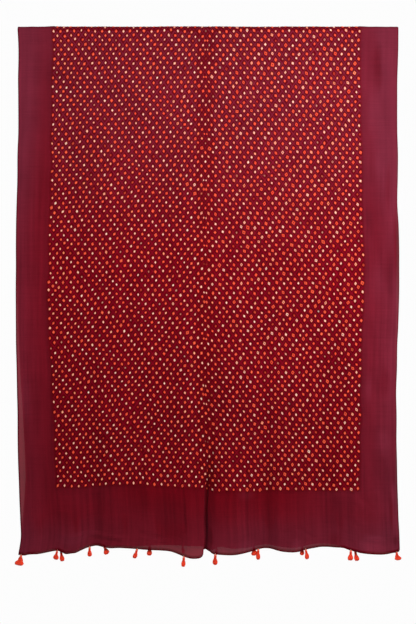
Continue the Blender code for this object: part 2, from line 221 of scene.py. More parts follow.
# edges and centre line of the tied field: place along the cloth from the fold, front above zero, then across
fieldLeft = (
    (-1.080, -0.3805), (-0.740, -0.3850), (-0.380, -0.3790), (0.000, -0.3795), (0.244, -0.3846),
    (0.387, -0.3826), (0.517, -0.3856), (0.648, -0.3875), (0.747, -0.3846), (0.975, -0.3756),
    (1.087, -0.3757),
)
fieldRight = (
    (-1.080, 0.3770), (-0.700, 0.3840), (-0.350, 0.3815), (0.000, 0.3723), (0.292, 0.3774), (0.494, 0.3789),
    (0.577, 0.3808), (0.672, 0.3782), (0.814, 0.3782), (0.933, 0.3770), (1.096, 0.3733),
)
fieldCentre = ((-1.080, -0.0010), (0.000, -0.0053), (0.600, -0.0052), (1.090, -0.0035))
# how far the last row of dots hangs below the fold, by place across the cut cloth
frontFieldEnd = (
    (-0.380, 1.0904), (-0.257, 1.0840), (-0.167, 1.0816), (-0.072, 1.0890), (-0.022, 1.0908),
    (0.013, 1.0987), (0.103, 1.0978), (0.170, 1.0944), (0.230, 1.0958), (0.303, 1.0962), (0.372, 1.0968),
)
backFieldEnd = ((-0.380, 1.0790), (-0.200, 1.0720), (-0.020, 1.0760), (0.150, 1.0810), (0.372, 1.0780))

# how the dye took on the flat cloth, and where painted light and sheen are laid into its colour; a pair is
# where an effect starts and is full, measured from the fold where nothing else is said
dyeAndPaintedLight = {
    "deepRows": 13,          # rows past the field over which the end borders' deeper dye ends
    "deepReach": 0.4,        # share of the columns, from the centre line, where that is full
    "deepLeft": 0.5,         # how deep the left border is next to the field
    "deepLeftFrom": (0.02, 0.14),
    "innerColumns": 8,       # the columns past the field that count as next to it
    # painted light: the side borders are made paler towards the fold, where more light falls from above
    "paleFrom": (1.06, 0.75),
    # painted sheen: near the fold the crest and the border colours are hazier
    "topFrom": (0.60, 0.15),
    "rightDarker": 0.45,     # less of the painted light towards the top right
    "lowDarker": 0.75,       # the ground of the field, towards the hems
    "innerLess": 0.6,        # how much less the borders have faded next to the field
    # painted sheen on the right border, and painted light on the strip by the left edge
    "paintedSideSheen": ((0.60, 0.39, 0.462), (0.30, -0.435, -0.464)),    # share, and two places across
    "hemFadeFrom": (1.150, 1.225),
    "patchShadeAndFade": 0.6,
    "sideHem": (0.0045, 0.0015),          # distances from the edge
    "sideHemShare": 0.35,
    "endHem": (0.0068, 0.0046),
}
dyeAndPaintedLightMarks = ("tied", "within", "deep", "pale", "top", "sheenAndFade", "crest", "hem")

# patches where the plain borders are painted paler and hazier, or darker below zero: painted light and shade
# of soft folds, and in some a little faded dye; place across and along the cut cloth, half width, half height
# and amount
foldShadeAndFadePatches = (
    (0.4080, 1.2320, 0.0460, 0.0330, 2.0), (0.4615, 1.1600, 0.0080, 0.0900, 1.0),
    (0.4620, 1.1050, 0.0080, 0.0350, 1.0), (0.4600, 1.2200, 0.0100, 0.0180, -1.4),
    (0.4580, 0.6000, 0.0100, 0.4500, 0.4), (0.0070, 1.2150, 0.0110, 0.0300, -1.2),
    (-0.0710, 1.1500, 0.0095, 0.0600, -0.9), (0.0960, 1.2350, 0.0330, 0.0250, 0.6),
    (0.2200, 1.2330, 0.0200, 0.0220, 0.6), (0.3150, 1.2300, 0.0240, 0.0260, -0.5),
    (-0.3400, 1.2200, 0.0500, 0.0220, 0.3), (-0.1050, 1.1700, 0.0500, 0.0900, -0.5),
    (-0.4250, 1.1600, 0.0180, 0.0750, -0.35), (0.0960, 1.1700, 0.0360, 0.0900, 0.15),
    (-0.0520, 1.1150, 0.0090, 0.0350, -0.5), (0.1540, 1.1500, 0.0180, 0.0900, -0.5),
    (-0.3350, 1.1100, 0.0150, 0.0300, -0.4), (-0.4100, 0.3300, 0.0500, 0.3000, -0.35),
    (-0.4550, 1.0400, 0.0140, 0.1500, -0.6), (0.4200, 0.4700, 0.0700, 0.1200, -0.4),
    (0.4140, 0.1000, 0.0260, 0.1200, -0.4), (0.4140, 0.6100, 0.0260, 0.0600, 0.4),
    (0.4190, 0.0860, 0.0150, 0.0500, -0.9), (0.4260, 0.1280, 0.0150, 0.0450, -0.9),
    (0.4060, 0.2050, 0.0170, 0.0800, 0.5), (0.4370, 0.1900, 0.0140, 0.0450, -0.5),
    (0.4470, 0.3760, 0.0110, 0.0850, -0.9), (0.4220, 0.3330, 0.0150, 0.0450, 0.4),
    (0.4030, 0.4650, 0.0130, 0.0450, -0.8), (0.4630, 0.5250, 0.0110, 0.1100, -1.4),
    (0.4470, 0.5700, 0.0180, 0.0600, -0.5), (0.4400, 0.8460, 0.0200, 0.0500, -0.5),
    (0.4000, 0.8600, 0.0100, 0.0450, 0.8), (0.4370, 0.9860, 0.0300, 0.0450, 0.5),
    (0.4540, 1.1600, 0.0070, 0.0700, -0.9), (-0.4480, 0.8900, 0.0160, 0.0800, 0.6),
    (0.3270, 1.1500, 0.0130, 0.0900, -0.7), (-0.1350, 1.1500, 0.0110, 0.0900, -0.5),
    (-0.2150, 1.1500, 0.0110, 0.0900, -0.5), (-0.3350, 1.1600, 0.0120, 0.0800, -0.4),
    (0.0960, 1.1050, 0.0300, 0.0250, 0.4),
)
# how far it has faded along the hems, by place across
hemFades = (
    (-0.470, 0.55), (-0.320, 0.55), (-0.260, 0.30), (0.030, 0.28), (0.090, 0.40), (0.300, 0.42),
    (0.370, 0.68), (0.470, 0.75),
)


cottonFinish = {
    "ground": "#680007",       # the dyed ground between the dots
    "halo": "#400004",         # where the dye gathers round a tie
    "crest": "#86061e",        # a lighter net along the creases between the dots: partly painted highlight where light catches them, partly lighter dye; the same near the fold
    # the crest near the fold, hazier with painted sheen
    "topCrestSheen": "#7c2038",
    "border": "#6b1523",
    "sheenAndFadeBorder": "#6d2131",  # paler and hazier: painted sheen near the fold and by the sides, and faded a little along the hems
    "nearField": "#6c0612",    # the end borders next to the field, where they took more dye
    "hem": "#5a0008",
    "orange": "#fd5a3c",
    "orangeRim": "#cc2a1e",
    "peach": "#ffa070",
    "cream": "#fff0dc",
    "creamRim": "#da442c",
    "hole": "#7a080e",         # where the tying thread was drawn tight
    "seenThrough": "#c9444f",
    "shine": "#d6c4ff",
    "dotWide": 0.0039,         # half width and half height of a dot
    "dotHigh": 0.0048,
    "dotPower": 1.15,          # its outline, between a diamond at 1 and an ellipse at 2
    "fray": 0.36,              # how unevenly the dye crept under the tie, and waves of that in a metre
    "frayScale": 420.0,
    # a dot's parts, and the dye gathered round it: where each is full and gone, in radii from the middle
    "masks": {"dot": (0.88, 1.08), "middle": (0.36, 0.92), "hole": (0.20, 0.46), "halo": (1.10, 1.65)},
    "netFrom": 0.54,           # the net of creases starts at this share of their height
    "cloudScale": 9.0,         # waves in a metre, and the same across and along for streaks and slubs
    "streakScale": (150.0, 4.0, 1.0),
    "slubScale": (14.0, 420.0, 1.0),
    "streakShare": 1.8,
    "cloudShare": 1.2,
    "calm": (0.10, 0.65),      # how much fainter the streaks are at the hems and by the fold
    "uneven": (1.4, 2.6),      # the sum of all three, and how dark and bright that makes the ground
    "bright": (0.72, 1.28),
    "palerBy": 0.20,
    "threadPitch": 0.0009,     # drawn a little coarser than the mull's own 0.5 mm, which would not show
    "threadShare": 0.25,       # of the bump; the rest is streaks and slubs
    "throughShare": 0.10,      # of the light that goes on through the threads
    "gapShare": 0.018,         # of the surface between the threads
}


def makeCotton():
    # Cotton mull, piece dyed: a soft, open plain weave of fine threads. It is matt, with a faint bloom where
    # light grazes it, and thin enough to let some light through.
    look = readFinish(cottonFinish)
    material, tree = newMaterial("dyed cotton mull")
    flat = addNode(tree, "UVMap", uv_map="flatMetres")
    place, shape, tone = [addNode(tree, "Attribute", attribute_name=name).outputs["Vector"]
                          for name in ("dotPlace", "dotShape", "dotTone")]
    size, slimness, tilt = addNode(tree, "SeparateXYZ", {0: shape}).outputs
    creaminess, hollowness, strength = addNode(tree, "SeparateXYZ", {0: tone}).outputs
    marks = {name: addNode(tree, "Attribute", attribute_name=name).outputs["Fac"] for name in dyeAndPaintedLightMarks}

    # distance from the dot's middle, 1 at its rim
    away = addNode(tree, "VectorMath", {0: flat, 1: place}, operation="SUBTRACT")
    turned = addNode(tree, "VectorRotate", {"Vector": away, "Angle": tilt}, rotation_type="Z_AXIS")
    wide = addNode(tree, "Math", {0: size, 1: look["dotWide"]}, operation="MULTIPLY")
    wide = addNode(tree, "Math", {0: wide, 1: slimness}, operation="MULTIPLY")
    high = addNode(tree, "Math", {0: size, 1: look["dotHigh"]}, operation="MULTIPLY")
    powers = []
    for distance, radius in zip(addNode(tree, "SeparateXYZ", {0: turned}).outputs, (wide, high)):
        share = addNode(tree, "Math", {0: distance, 1: radius}, operation="DIVIDE")
        share = addNode(tree, "Math", {0: share}, operation="ABSOLUTE")
        powers.append(addNode(tree, "Math", {0: share, 1: look["dotPower"]}, operation="POWER"))
    reach = addNode(tree, "Math", {0: powers[0], 1: powers[1]}, operation="ADD")
    reach = addNode(tree, "Math", {0: reach, 1: 1 / look["dotPower"]}, operation="POWER")
    frayed = addNode(tree, "TexNoise", {"Vector": flat, "Scale": look["frayScale"], "Detail": 2.0})
    reach = addNode(tree, "Math", {0: frayed, 1: look["fray"], 2: reach}, operation="MULTIPLY_ADD")
    reach = addNode(tree, "Math", {0: reach, 1: look["fray"] / 2}, operation="SUBTRACT")

    # masks for the dot's parts, and for the net of creases between the dots
    masks = {}
    for name, (full, gone) in look["masks"].items():
        masks[name] = addNode(tree, "MapRange", {"Value": reach, "From Min": full, "From Max": gone,
                              "To Min": 1.0, "To Max": 0.0}, interpolation_type="SMOOTHSTEP")
    for name, share in (("dot", strength), ("hole", hollowness), ("halo", strength)):
        masks[name] = addNode(tree, "Math", {0: masks[name], 1: share}, operation="MULTIPLY")
    # the net of creases: partly a painted highlight where light catches them, partly lighter dye
    net = addNode(tree, "MapRange", {"Value": marks["crest"], "From Min": look["netFrom"]},
                  interpolation_type="SMOOTHSTEP")
    net = addNode(tree, "Math", {0: net, 1: marks["tied"]}, operation="MULTIPLY")

    # the dye takes unevenly, in soft clouds and in short slubs across it; the fine streaks along the length
    # are uneven dye together with painted light and shade of fine lengthwise wrinkles
    clouds = addNode(tree, "TexNoise", {"Vector": flat, "Scale": look["cloudScale"], "Detail": 4.0,
                     "Roughness": 0.55})
    lengthwise = addNode(tree, "Mapping", {"Vector": flat, "Scale": look["streakScale"]})
    streaks = addNode(tree, "TexNoise", {"Vector": lengthwise, "Scale": 1.0, "Detail": 2.0})
    crosswise = addNode(tree, "Mapping", {"Vector": flat, "Scale": look["slubScale"]})
    slubs = addNode(tree, "TexNoise", {"Vector": crosswise, "Scale": 1.0, "Detail": 3.0})
    calm = addNode(tree, "MapRange", {"Value": marks["top"], "To Min": look["calm"][0],
                   "To Max": look["calm"][1]})
    calm = addNode(tree, "Mix", {"Factor": calm, "A": streaks, "B": 0.5})
    uneven = addNode(tree, "Math", {0: calm, 1: look["streakShare"], 2: slubs}, operation="MULTIPLY_ADD")
    uneven = addNode(tree, "Math", {0: clouds, 1: look["cloudShare"], 2: uneven}, operation="MULTIPLY_ADD")
    bright = addNode(tree, "MapRange", {"Value": uneven, "From Min": look["uneven"][0],
                     "From Max": look["uneven"][1], "To Min": look["bright"][0], "To Max": look["bright"][1]})
    # painted light: the pale mark brightens the side borders towards the fold, and its patches paint the
    # light and shade of soft folds; the field's ground is darker towards the hems
    paler = addNode(tree, "Math", {0: marks["pale"], 1: look["palerBy"], 2: 1.0}, operation="MULTIPLY_ADD")
    bright = addNode(tree, "Math", {0: bright, 1: paler}, operation="MULTIPLY")

    # the ground: each colour is laid over the ones before it
    # near the fold the crest, and the border there and by the sides, are hazier with painted sheen
    crest = addNode(tree, "Mix", {"Factor": marks["top"], "A": look["crest"], "B": look["topCrestSheen"]},
                    data_type="RGBA")
    ground = look["border"]
    for mask, colour in ((marks["deep"], look["nearField"]), (marks["sheenAndFade"], look["sheenAndFadeBorder"]),
                         (marks["within"], look["ground"]), (net, crest), (masks["halo"], look["halo"]),
                         (marks["hem"], look["hem"])):
        ground = addNode(tree, "Mix", {"Factor": mask, "A": ground, "B": colour}, data_type="RGBA")
    ground = addNode(tree, "VectorMath", {0: ground, "Scale": bright}, operation="SCALE")

    # the dots: cream ones keep the bare cotton, with a peach rim; orange ones were dyed before they were tied
    rim = addNode(tree, "Mix", {"Factor": creaminess, "A": look["orangeRim"], "B": look["creamRim"]},
                  data_type="RGBA")
    peachy = addNode(tree, "MapRange", {"Value": creaminess, "From Max": 0.55})
    creamy = addNode(tree, "MapRange", {"Value": creaminess, "From Min": 0.45})
    colour = look["orange"]
    for mask, over in ((peachy, look["peach"]), (creamy, look["cream"])):
        colour = addNode(tree, "Mix", {"Factor": mask, "A": colour, "B": over}, data_type="RGBA")
    colour = addNode(tree, "Mix", {"Factor": masks["middle"], "A": rim, "B": colour}, data_type="RGBA")
    colour = addNode(tree, "Mix", {"Factor": masks["hole"], "A": colour, "B": look["hole"]}, data_type="RGBA")
    colour = addNode(tree, "Mix", {"Factor": masks["dot"], "A": ground, "B": colour}, data_type="RGBA")

    # the weave: two sets of threads, with streaks and slubs, as bump
    threads = addNode(tree, "VectorMath", {0: flat, "Scale": 2 * math.pi / look["threadPitch"]},
                      operation="SCALE")
    warp, weft = [addNode(tree, "Math", {0: thread}, operation="SINE")
                  for thread in addNode(tree, "SeparateXYZ", {0: threads}).outputs[:2]]
    weave = addNode(tree, "Math", {0: warp, 1: weft}, operation="MULTIPLY")
    weave = addNode(tree, "Math", {0: weave, 1: look["threadShare"], 2: streaks}, operation="MULTIPLY_ADD")
    weave = addNode(tree, "Math", {0: weave, 1: slubs}, operation="ADD")
    bump = addNode(tree, "Bump", {"Strength": 0.5, "Distance": 0.0003, "Height": weave})

    surface = addNode(tree, "BsdfPrincipled", {
        "Base Color": colour, "Roughness": 0.50, "Specular IOR Level": 0.024, "Specular Tint": look["shine"],
        "Sheen Weight": 0.02, "Sheen Roughness": 0.55, "Sheen Tint": look["shine"], "Normal": bump})
    deeper = addNode(tree, "Math", {0: marks["tied"], 1: marks["hem"]}, operation="MAXIMUM")
    deeper = addNode(tree, "MapRange", {"Value": deeper, "To Min": 0.35, "To Max": 1.0})
    glow = addNode(tree, "Mix", {"Factor": deeper, "A": look["seenThrough"], "B": colour}, data_type="RGBA")
    through = addNode(tree, "BsdfTranslucent", {"Color": glow, "Normal": bump})
    body = addNode(tree, "MixShader", {0: look["throughShare"], 1: surface, 2: through})
    gaps = addNode(tree, "BsdfTransparent")
    body = addNode(tree, "MixShader", {0: look["gapShare"], 1: body, 2: gaps})
    addNode(tree, "OutputMaterial", {0: body})
    return material


crownRadius = cloth["rodRadius"] + cloth["solidThickness"] / 2
crownArc = crownRadius * math.pi / 2      # along the cloth from the top line to where a half starts to hang
arcSpare = crownArc - cloth["rodRadius"]  # how much longer that is than it is deep


def readCurve(rows, at, column=1):        # a smooth curve through a table's rows, read at every value of at
    places = np.array([row[0] for row in rows])
    values = np.array([row[column] for row in rows])
    slopes = np.gradient(values, places)
    slopes[1:-1] = (values[2:] - values[:-2]) / (places[2:] - places[:-2])
    at = np.clip(at, places[0], places[-1])
    low = np.clip(np.searchsorted(places, at, side="right") - 1, 0, len(places) - 2)
    span = places[low + 1] - places[low]
    t = (at - places[low]) / span
    start = (2 * t**3 - 3 * t**2 + 1) * values[low] + (t**3 - 2 * t**2 + t) * span * slopes[low]
    return start + (3 * t**2 - 2 * t**3) * values[low + 1] + (t**3 - t**2) * span * slopes[low + 1]


def smoothStep(start, end, at):
    t = np.clip((at - start) / (end - start), 0.0, 1.0)
    return t * t * (3 - 2 * t)


def softBump(away):                       # 1 in the middle, falling to 0 at a distance of 1
    return 0.5 + 0.5 * np.cos(np.pi * np.minimum(away, 1.0))


def unit(vectors):
    return vectors / np.linalg.norm(vectors, axis=2, keepdims=True)


def foldDepth(folds, across, down):
    total = np.zeros(np.broadcast(across, down).shape)
    for startAcross, hemAcross, starts, full, leftFlank, rightFlank, depth in folds:
        reached = smoothStep(starts, full, down)
        away = across - startAcross - (hemAcross - startAcross) * reached
        away = np.abs(away) / np.where(away < 0, leftFlank, rightFlank)
        total += depth * reached * softBump(away)
    return total


def creaseHeight(x, drop):
    total = np.zeros_like(x)
    for x0, drop0, x1, drop1, halfWidth, height in creases:
        runX, runDrop = x1 - x0, drop1 - drop0
        held = np.clip(((x - x0) * runX + (drop - drop0) * runDrop) / (runX**2 + runDrop**2), 0.0, 1.0)
        away = np.hypot(x - x0 - held * runX, drop - drop0 - held * runDrop) / halfWidth
        total += height * smoothStep(0.0, 0.25, held) * smoothStep(1.0, 0.75, held) * softBump(away)
    return total


def hangingPoints(across, along):
    # The middle surface of the cloth: across and along are places on the cut cloth, along is above zero in
    # front. The cloth does not stretch, so its points crowd together across where a fold turns away.
    front = along > 0
    far = np.abs(along)
    down = np.maximum(cloth["halfLength"] * (far - crownArc) / (cloth["halfLength"] - crownArc), 0.0)
    offset = crownRadius + (cloth["layerGap"] - crownRadius) * smoothStep(0.0, cloth["gapCloses"], down)
    shared = foldDepth(sharedFolds, across, down)
    behind = offset + backShare * shared + foldDepth(backFolds, across, down)
    depth = np.where(front, shared - offset, behind)

    steps = np.diff(across, axis=1)
    crowded = np.sqrt(np.maximum(steps**2 - np.diff(depth, axis=1)**2, (cloth["leastWidth"] * steps)**2))
    reach = np.concatenate([np.zeros_like(across[:, :1]), np.cumsum(crowded, axis=1)], axis=1)
    left, right = [np.where(front, readCurve(frontEdges, down, column), readCurve(backEdges, down, column))
                   for column in (1, 2)]
    x = left + (right - left) * reach / reach[:, -1:]

    drop = far - arcSpare
    rod = cloth["rodRadius"]
    rows = np.where(front, tying["frontRows"] - 1, tying["backRows"] + 1) * tying["rowStep"]
    lastRow = rows + np.where(front, tying["firstRow"], -tying["firstRow"]) - arcSpare
    fieldEnd = np.where(front, readCurve(frontFieldEnd, across), readCurve(backFieldEnd, across))
    hem = np.where(front, readCurve(frontHem, across), readCurve(backHem, across))
    inField = rod + (drop - rod) / (lastRow - rod) * (fieldEnd - rod)
    whole = cloth["halfLength"] - arcSpare
    belowField = fieldEnd + (drop - lastRow) / (whole - lastRow) * (hem - fieldEnd)
    z = -np.where(drop < lastRow, inField, belowField)

    turn = along / crownRadius
    crown = far < crownArc
    y = np.where(crown, -crownRadius * np.sin(turn), depth)
    z = np.where(crown, -rod + crownRadius * np.cos(turn), z)
    return np.stack([x, y, z], axis=2)


def latticeRows():
    # places along the cloth of the mesh's rows, from the back hem to the front hem: half steps of the tying,
    # quarter steps over the fold, and in the end borders narrow rows by the field and wide ones below them
    quarters = np.arange(-0.75, 2.0, 0.5)
    numbers = np.arange(-tying["backRows"], tying["frontRows"] + 0.25, 0.5)
    field = (np.sort(np.concatenate([numbers, quarters])) - 1) * tying["rowStep"] + tying["firstRow"]
    ends = []
    for half, last in (("back", -field[0]), ("front", field[-1])):
        narrow, wide = cloth["endFaces"][half]
        near = last + cloth["endNarrow"] * np.arange(1, narrow + 1)
        rest = cloth["halfLength"] - cloth["endBead"] - near[-1]
        share = np.arange(1, wide + 1) / wide
        ends.append(np.concatenate([near, near[-1] + rest * share * (1 + cloth["endTaper"] * (1 - share))]))
    return np.concatenate([-ends[0][::-1], field, ends[1]])


def columnPlaces(along):
    # places across the cut cloth of the mesh's columns in each row, and their numbers in the tying
    half = cloth["width"] / 2 - cloth["sideBead"]
    left, right, centre = [readCurve(line, along) for line in (fieldLeft, fieldRight, fieldCentre)]
    numbers = np.arange(-tying["columns"], tying["columns"] + 0.25, 0.5)
    numbers = np.sort(np.concatenate([numbers, np.arange(-2.25, 2.5, 0.5)]))    # closer by the centre line
    side = np.where(numbers < 0, left - centre, right - centre)
    field = centre + side * np.abs(numbers) / tying["columns"]
    share = (np.arange(cloth["borderFaces"]) / cloth["borderFaces"]) ** cloth["borderCrowds"]
    leftBorder = -half + (left + half) * share
    rightBorder = half + (right - half) * share[::-1]
    beyond = tying["columns"] + np.arange(1, cloth["borderFaces"] + 1) * tying["borderStep"]
    columns = np.concatenate([-beyond[::-1], numbers, beyond])
    return np.concatenate([leftBorder, field, rightBorder], axis=1), columns


def awayFromOdd(values):                   # 0 at odd numbers, 1 at even ones
    return np.abs(np.mod(values, 2.0) - 1.0)


def soften(rng, across, along, wave, count):
    # a smooth random surface of height about 1, from count waves of about one length in many directions
    total = np.zeros(np.broadcast(across, along).shape)
    for _ in range(count):
        turn, phase = rng.uniform(0, 2 * np.pi, 2)
        size = wave * rng.uniform(0.7, 1.5)
        total += np.cos(2 * np.pi * (across * np.cos(turn) + along * np.sin(turn)) / size + phase)
    return total / math.sqrt(count)


# how the dots differ; a pair is a least value and how much more it may be
dotMix = {
    "seed": 7,
    "size": (0.84, 0.32),
    "slim": (0.80, 0.30),
    "strength": (0.86, 0.14),
    "creamTone": (0.40, 0.60),
    "orangeTone": (0.0, 0.16),
    "hollow": (-1.75, 2.4),    # below zero a dot has no hole
    "hollowRight": 0.85,       # the right half has more of them
    "hollowWider": 0.26,
    "swapped": (0.90, 0.70),   # two chances, of which a dot has to pass both to change its colour
    "creamSize": 0.92,
    "orangeSize": 1.01,
    "creamSlimmer": 0.06,
    "weakShare": 0.13,         # dots that the thread held badly
    "weakSmaller": 0.18,
    "weakStrength": 0.55,
    "centreSmaller": 0.10,
    "faintShare": 0.08,        # centre dots that hardly show
    "faintStrength": 0.15,
    "tilt": 0.9,               # radians from one extreme to the other
    "lean": 0.25,              # and how far dots lean away from the centre line
    "pairShare": 0.35,         # centre dots that are a pair, one each side of the line
    "pairApart": 0.0030,
    "pairSize": 0.85,
    "lowSmaller": 0.05,        # towards both hems
}


def makeDots(rng):
    # One row of random values for each dot. The cloth was folded along its centre line to be tied, so both
    # sides share most of them.
    wide, high = tying["columns"], tying["frontRows"] + tying["backRows"] + 1

    def mirrored(own):                    # own is the share of a value that the other side does not have
        half = rng.random((high, wide + 1))
        both = np.concatenate([half[:, :0:-1], half], axis=1)
        return both * (1 - own) + rng.random(both.shape) * own

    def between(name, own):
        least, more = dotMix[name]
        return least + more * mirrored(own)

    column = np.arange(-wide, wide + 1)[None, :]
    row = np.arange(-tying["backRows"], tying["frontRows"] + 1)[:, None]
    centre = column == 0
    cream = ((np.abs(column) + row) // 2) % 2 == 1
    swapped = mirrored(0.3) > dotMix["swapped"][0]
    cream = np.where(swapped & (mirrored(0.3) > dotMix["swapped"][1]), ~cream, cream)
    weak = mirrored(0.5) < dotMix["weakShare"]
    size = between("size", 0.5) - dotMix["centreSmaller"] * centre - dotMix["weakSmaller"] * weak
    size = size * np.where(cream, dotMix["creamSize"], dotMix["orangeSize"])
    slim = between("slim", 0.5) - dotMix["creamSlimmer"] * cream
    tilt = dotMix["tilt"] * (rng.random(size.shape) - 0.5) + dotMix["lean"] * np.sign(column)
    toRight = smoothStep(-25, 25, column + 0 * row)
    hollow = np.clip(between("hollow", 0.6) + dotMix["hollowRight"] * toRight, 0.0, 1.0)
    size = size * (1 + dotMix["hollowWider"] * hollow)
    strength = np.where(weak, dotMix["weakStrength"], 1.0) * between("strength", 0.5)
    faint = centre & (rng.random(size.shape) < dotMix["faintShare"])
    strength = np.where(faint, dotMix["faintStrength"], strength)
    tone = np.where(cream, between("creamTone", 0.6), between("orangeTone", 0.5))
    shift = np.sign(column) * (2 * mirrored(0.5) - 1) * tying["wander"]
    lower = (2 * mirrored(0.5) - 1) * tying["lowerWander"] * np.where(centre, 0, 1)
    height = 1 + tying["puckerVaries"] * (2 * mirrored(0.5) - 1)
    return {"size": size, "slim": slim, "tilt": tilt, "tone": tone, "hollow": hollow, "strength": strength,
            "shift": shift, "lower": lower, "height": height, "pair": rng.random(high) < dotMix["pairShare"]}


def cellOf(column, row):
    # the dot whose creases enclose a place in the tying
    first, second = np.round((column + row) / 2), np.round((column - row) / 2)
    return first + second, first - second


def lookUp(dots, name, column, row):
    column = np.clip(column, -tying["columns"], tying["columns"]).astype(int) + tying["columns"]
    row = np.clip(row, -tying["backRows"], tying["frontRows"]).astype(int) + tying["backRows"]
    return dots[name][row, column]


def insideField(column, row, across, along):
    # 1 in the tied field and 0 outside: across and along say how many steps of the tying beyond the last dot
    # it starts and is full
    share = smoothStep(tying["columns"] + across[0], tying["columns"] + across[1], np.abs(column))
    share = share * smoothStep(tying["frontRows"] + along[0], tying["frontRows"] + along[1], row)
    return share * smoothStep(-tying["backRows"] - along[0], -tying["backRows"] - along[1], row)


def hangSheet(rng, dots):
    # the sheet's points as they hang, and for each one its place on the flat cloth and in the tying
    along = latticeRows()[:, None]
    across, columns = columnPlaces(along)
    column = columns[None, :] + 0 * along
    row = 1 + (along - tying["firstRow"]) / tying["rowStep"] + 0 * column
    points = hangingPoints(across, along + 0 * across)
    sideways = unit(np.gradient(points, axis=1))
    lengthways = unit(np.gradient(points, axis=0))
    normal = unit(np.cross(lengthways, sideways))

    # rows and columns waver, and each knot misses its place a little
    inField = insideField(column, row, (4, 0), (3, 0))
    cellColumn, cellRow = cellOf(column, row)
    atDot = (column == cellColumn) & (np.abs(row - cellRow) < 1e-6) & (np.abs(column) <= tying["columns"])
    missed = [np.where(atDot, lookUp(dots, name, cellColumn, cellRow), 0.0) for name in ("shift", "lower")]
    flat = np.stack([across + missed[0], along + missed[1]], axis=2)
    fromCentre = np.abs(across - readCurve(fieldCentre, along))
    rowWaver = tying["drift"] * inField * soften(rng, fromCentre, along, tying["driftWave"], 9)
    columnWaver = tying["sideDrift"] * inField * soften(rng, across, along, tying["sideDriftWave"], 9)
    points = points + sideways * (missed[0] + columnWaver)[..., None]
    points = points + lengthways * (missed[1] + rowWaver)[..., None]

    # the cloth stands up at each dot and creases between them, and beyond the field they die out as gathers
    first, second = awayFromOdd(column + row), awayFromOdd(column - row)
    peak = np.minimum(first, second) * lookUp(dots, "height", cellColumn, cellRow)
    height = tying["pucker"] * inField * (peak + tying["ridge"] * (first + second))
    for rise, wave, count in relief["swells"]:
        height += rise * soften(rng, across, along, wave, count)
    plain = smoothStep(tying["frontRows"], tying["frontRows"] + 3, row)
    plain = plain + smoothStep(-tying["backRows"], -tying["backRows"] - 3, row)
    beside = smoothStep(tying["columns"] - 1, tying["columns"] + 3, np.abs(column))
    gathers = relief["endGathers"] * plain + relief["sideGathers"] * beside * (1 - plain)
    height += gathers * soften(rng, across, relief["gatherSlant"] * along, relief["gatherWave"], 16)
    height += np.where(along > crownArc, creaseHeight(points[..., 0], -points[..., 2]), 0.0)
    return {"points": points + normal * height[..., None], "flat": flat, "column": column, "row": row,
            "sideways": sideways, "lengthways": lengthways, "normal": normal}


def rollHems(grid, axis, outward, radius, number, beyond):
    # A rolled hem along the first and the last line of the grid on one axis: points that roll on from the
    # edge, out and round to the inner side. outward names the direction in which the cloth ends, and number
    # the count in the tying that goes beyond the field there.
    arcs = np.radians(cloth["beadTurns"]) * radius
    hems = []
    for edge, sign in ((0, -1), (-1, 1)):
        line = {name: np.take(values, edge, axis=axis) for name, values in grid.items()}
        hem = {name: np.stack([values] * len(arcs), axis=axis) for name, values in line.items()}
        turns = [radius * (sign * math.sin(turn) * line[outward] + (math.cos(turn) - 1) * line["normal"])
                 for turn in np.radians(cloth["beadTurns"])]
        hem["points"] = hem["points"] + np.stack(turns, axis=axis)
        hem["flat"][..., 1 - axis] += sign * (arcs if axis else arcs[:, None])
        hem[number] = np.full_like(hem[number], sign * beyond)
        hems.append(hem)
    return {name: np.concatenate([np.flip(hems[0][name], axis), values, hems[1][name]], axis=axis)
            for name, values in grid.items()}


def cutTriangles(column, row):
    # two triangles for each cell of the grid, cut along the creases
    high, wide = column.shape
    corner = np.arange(high * wide).reshape(high, wide)
    a, b, c, d = corner[:-1, :-1], corner[:-1, 1:], corner[1:, 1:], corner[1:, :-1]
    halfSteps = np.round(2 * column[:-1, :-1]) + np.round(2 * row[:-1, :-1])
    even = (np.mod(halfSteps, 2) == 0)[..., None]
    one = np.where(even, np.stack([a, c, b], 2), np.stack([a, d, b], 2))
    two = np.where(even, np.stack([a, d, c], 2), np.stack([b, d, c], 2))
    return np.stack([one, two], axis=2).reshape(-1, 3)


def addMap(mesh, name, places):           # one place for each corner of each triangle
    mesh.uv_layers.new(name=name).uv.foreach_set("vector", places.astype("f").ravel())


def mapSheet(mesh, grid, faces):
    # the flat cloth in metres, and for baking a second map with the front half beside the back half
    flat = grid["flat"].reshape(-1, 2)
    corners = faces.reshape(-1)
    size = np.array([cloth["width"] / 2, cloth["halfLength"]])
    addMap(mesh, "flatMetres", (flat + size)[corners])
    room = cloth["bakeRoom"]
    faceAlong = flat[:, 1][faces].mean(axis=1)
    behind = np.repeat(faceAlong <= tying["firstRow"] - tying["rowStep"] / 2, 3)
    acrossShare = (flat[corners, 0] + size[0] + room) / (cloth["width"] + 2 * room)
    alongShare = (np.abs(flat[corners, 1]) + room) / (cloth["halfLength"] + 2 * room)
    addMap(mesh, "OFBake", np.stack([(acrossShare + behind) / 2, alongShare], axis=1))
    mesh.uv_layers["flatMetres"].active_render = True


